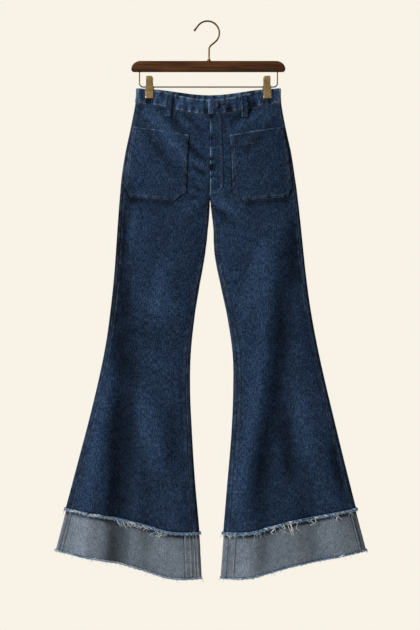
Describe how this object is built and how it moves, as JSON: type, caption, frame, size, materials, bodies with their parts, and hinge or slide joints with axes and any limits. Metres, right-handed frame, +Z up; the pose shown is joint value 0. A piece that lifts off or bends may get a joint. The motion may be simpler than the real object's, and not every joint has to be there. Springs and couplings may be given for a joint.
{
  "type": "wide-leg jeans on a wooden trouser clip hanger",
  "caption": "High-waisted flared jeans with patch pockets, raw edges and bands of reversed denim at the hems, clipped to a wooden hanger with a brass hook and wire rail.",
  "frame": {"origin": "underside of the hook's crown, where a rail or peg carries the hanger", "axes": "+Z up, +Y towards the back of the jeans, +X to the viewer's right as they look at the front"},
  "size_m": [0.7209, 0.054, 1.3036],
  "materials": {
    "denim": "indigo cotton denim twill, lightly worn at its edges",
    "denim_reverse": "wrong side of the denim, pale grey-blue twill",
    "fray": "loose blue and white cotton threads",
    "button": "dark navy, satin",
    "wood": "dark walnut, satin lacquer",
    "brass": "antique brass, satin"
  },
  "bodies": {
    "root": {"front_panel_left_hip": "denim", "front_panel_left_thigh": "denim", "front_panel_left_calf": "denim", "front_panel_right_hip": "denim", "front_panel_right_thigh": "denim", "front_panel_right_calf": "denim", "back_panel_left_hip": "denim", "back_panel_left_thigh": "denim", "back_panel_left_calf": "denim", "back_panel_right_hip": "denim", "back_panel_right_thigh": "denim", "back_panel_right_calf": "denim", "patch_pocket_left": "denim", "patch_pocket_right": "denim", "fly_placket": "denim", "waistband_front_left": "denim", "waistband_front_right": "denim", "waistband_back": "denim", "button": "button", "belt_loop_front_left": "denim", "belt_loop_front_right": "denim", "belt_loop_back_left": "denim", "belt_loop_back_centre": "denim", "belt_loop_back_right": "denim", "hem_band_front_left": "denim_reverse", "hem_band_front_right": "denim_reverse", "hem_band_back_left": "denim_reverse", "hem_band_back_right": "denim_reverse", "raw_edge_fray_left": "fray", "raw_edge_fray_right": "fray", "hem_fray_left": "fray", "hem_fray_right": "fray", "hanger_bar": "wood", "hook": "brass", "hook_collar": "brass", "hanger_rail": "brass", "clip_front_plate_left": "brass", "clip_front_plate_right": "brass", "clip_back_plate_left": "brass", "clip_back_plate_right": "brass", "clip_spring_left": "brass", "clip_spring_right": "brass"}
  },
  "joints": []
}
